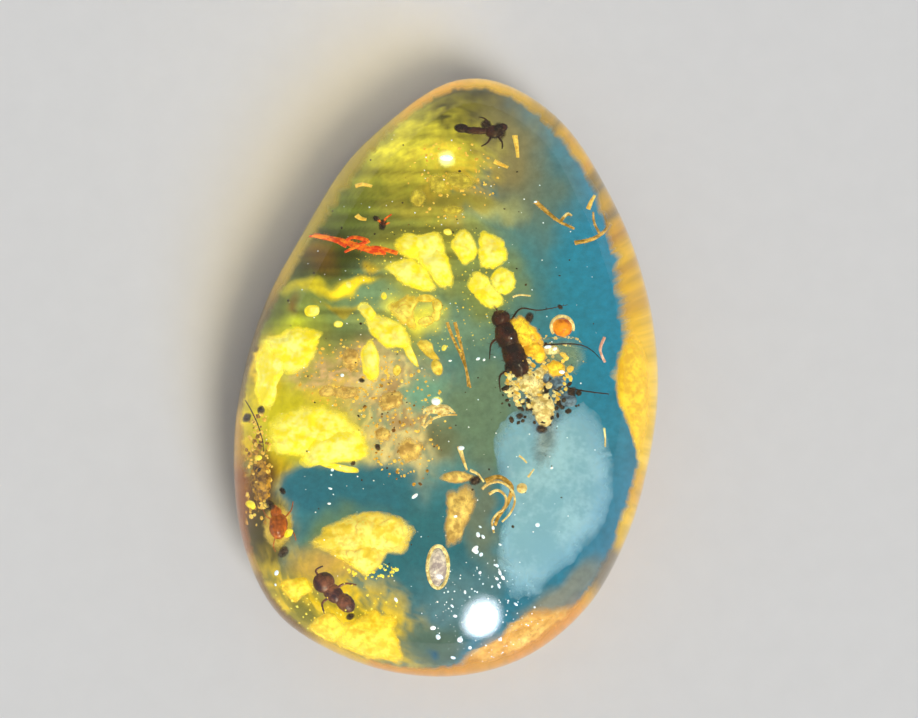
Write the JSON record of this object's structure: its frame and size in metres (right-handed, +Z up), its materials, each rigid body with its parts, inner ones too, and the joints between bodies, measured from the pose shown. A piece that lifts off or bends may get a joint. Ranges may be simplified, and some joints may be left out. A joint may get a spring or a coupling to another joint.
{
  "type": "insect in amber",
  "caption": "Egg-shaped polished cabochon of blue amber with a flat back, holding insects, rootlets and yellow flakes sealed inside.",
  "frame": {"origin": "middle of the flat back, on the surface that the stone lies on", "axes": "+Y along the stone towards its narrow end, +X to its right seen from the domed face, +Z up out of the flat back"},
  "size_m": [0.018, 0.0255, 0.0085],
  "materials": {
    "clear_amber": "hand polished, clear, blue by reflected light",
    "yellow_flake": "crumpled and granular, bright yellow",
    "golden_debris": "grainy golden debris",
    "brown_crumb": "crumbly brown debris",
    "insect_husk": "dark, slightly glossy shell",
    "beetle_shell": "red-brown shell",
    "red_root": "red-orange fibre",
    "golden_twig": "golden-brown fibre",
    "pale_husk": "pale papery husk",
    "orange_resin": "glossy orange-brown bead"
  },
  "bodies": {
    "root": {"amber_crown": "clear_amber", "amber_base": "clear_amber", "large_insect": "insect_husk", "insect_wing": "pale_husk", "small_beetle": "beetle_shell", "ant": "insect_husk", "midge": "insect_husk", "yellow_crumbs": "yellow_flake", "orange_bead": "orange_resin", "pupa": "pale_husk", "dark_grain": "insect_husk", "flake_left_upper": "yellow_flake", "flake_left_middle": "yellow_flake", "flake_fan": "yellow_flake", "flake_lower_left": "yellow_flake", "flake_lower_lumps": "yellow_flake", "bright_bead": "yellow_flake", "flake_top": "golden_debris", "flake_crumpled": "yellow_flake", "flake_four_lobed": "yellow_flake", "flake_diagonal": "yellow_flake", "flake_oval": "yellow_flake", "flake_ring": "yellow_flake", "flake_small": "yellow_flake", "rim_crescent_right": "golden_debris", "rim_crescent_lower": "golden_debris", "rim_debris_left": "brown_crumb", "crumbs_upper": "brown_crumb", "crumbs_lower": "brown_crumb", "brown_lump": "golden_debris", "curled_shaving": "golden_twig", "leg_fragment": "golden_twig", "rootlet_branch": "golden_twig", "red_rootlet": "red_root", "resin_blade": "golden_twig", "pale_sliver": "pale_husk", "bubble_cap": "pale_husk", "oval_capsule": "pale_husk"}
  },
  "joints": []
}
